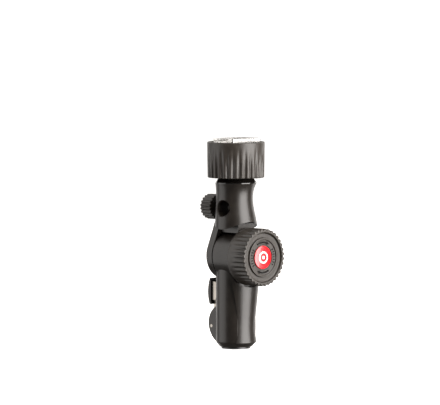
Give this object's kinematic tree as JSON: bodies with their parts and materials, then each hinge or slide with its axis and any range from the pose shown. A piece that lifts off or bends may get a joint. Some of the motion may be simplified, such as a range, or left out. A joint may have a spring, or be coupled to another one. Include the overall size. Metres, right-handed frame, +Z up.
{
  "type": "umbrella swivel bracket",
  "caption": "Tilting bracket for a light stand: push-on spigot socket, lockable tilt joint, cross bore for an umbrella shaft and a flash shoe with a lock ring.",
  "frame": {"origin": "centre of the stand socket's mouth", "axes": "+Z up along the socket; +X along the tilt axis towards the tilt knob; the umbrella bore runs along Y"},
  "size_m": [0.06, 0.0436, 0.1588],
  "materials": {
    "body_polymer": "satin glass-filled nylon, fine moulded texture",
    "grip_polymer": "satin moulded nylon",
    "knob_polymer": "matte moulded nylon",
    "collar_black": "glossy acetal",
    "pad_black": "matte moulded nylon",
    "lever_steel": "zinc-plated steel",
    "bolt_steel": "zinc-plated steel",
    "socket_alloy": "hard-anodised aluminium",
    "shoe_alloy": "satin machined aluminium",
    "brass": "machined brass",
    "friction_fibre": "resin-bonded fibre",
    "bearing_plastic": "natural acetal",
    "badge_red": "glossy red resin dome"
  },
  "bodies": {
    "stand_base": {"lower_housing": "body_polymer", "grip_cover": "grip_polymer", "socket_sleeve": "socket_alloy", "lever_pivot_pin": "bolt_steel", "lever_spring": "bolt_steel", "barrel_bush": "bearing_plastic"},
    "release_lever": {"lever_arm": "lever_steel", "lever_pad": "pad_black", "latch_shoe": "brass"},
    "tilt_head": {"upper_housing": "body_polymer", "ear_cap": "pad_black", "tilt_bolt": "bolt_steel", "friction_disc": "friction_fibre", "screw_insert": "brass", "neck_collar": "collar_black", "shoe_stem": "socket_alloy", "stem_bolt": "bolt_steel", "shoe_channel": "shoe_alloy", "shoe_screws": "bolt_steel"},
    "screw_tip": {"clamp_tip": "bearing_plastic"},
    "thumb_screw": {"thumb_screw_head": "knob_polymer", "thumb_screw_stud": "bolt_steel"},
    "foot_clamp": {"foot_clamp_plate": "bolt_steel"},
    "lock_ring": {"lock_ring": "knob_polymer", "ring_nut_insert": "brass"},
    "knob_thrust": {"thrust_washer": "bolt_steel"},
    "tilt_knob": {"tilt_knob": "knob_polymer", "knob_nut_insert": "brass", "knob_face_plate": "knob_polymer", "knob_badge": "badge_red"}
  },
  "joints": [
    {"name": "head_tilt", "type": "hinge", "parent": "stand_base", "child": "tilt_head", "pos_m": [0, 0, 0.0701], "axis": [1, 0, 0], "range_deg": [-90, 90]},
    {"name": "lever_press", "type": "hinge", "parent": "stand_base", "child": "release_lever", "pos_m": [-0.0205, 0, 0.016], "axis": [0, 1, 0], "range_deg": [0, 8], "stiffness_Nm_per_rad": 0.25, "springref_deg": -11.46, "deforming": ["lever_spring"]},
    {"name": "knob_lift", "type": "slide", "parent": "tilt_head", "child": "knob_thrust", "axis": [1, 0, 0], "range_m": [0, 0.00187]},
    {"name": "knob_turn", "type": "hinge", "parent": "knob_thrust", "child": "tilt_knob", "pos_m": [0.0214, 0, 0.0701], "axis": [1, 0, 0], "range_deg": [0, 540]},
    {"name": "tip_travel", "type": "slide", "parent": "tilt_head", "child": "screw_tip", "axis": [1, 0, 0], "range_m": [-0.0016, 0.002]},
    {"name": "thumb_turn", "type": "hinge", "parent": "screw_tip", "child": "thumb_screw", "pos_m": [-0.024, 0, 0.1062], "axis": [1, 0, 0], "range_deg": [-720, 900]},
    {"name": "clamp_travel", "type": "slide", "parent": "tilt_head", "child": "foot_clamp", "axis": [0, 0, 1], "range_m": [0, 0.001]},
    {"name": "ring_turn", "type": "hinge", "parent": "foot_clamp", "child": "lock_ring", "pos_m": [0, 0, 0.1427], "axis": [0, 0, 1], "range_deg": [0, 240]}
  ],
  "couplings": [
    {"joint": "knob_turn", "follows": "knob_lift", "rad_per_m": 5026.5},
    {"joint": "thumb_turn", "follows": "tip_travel", "rad_per_m": 7854},
    {"joint": "ring_turn", "follows": "clamp_travel", "rad_per_m": 4188.8}
  ]
}
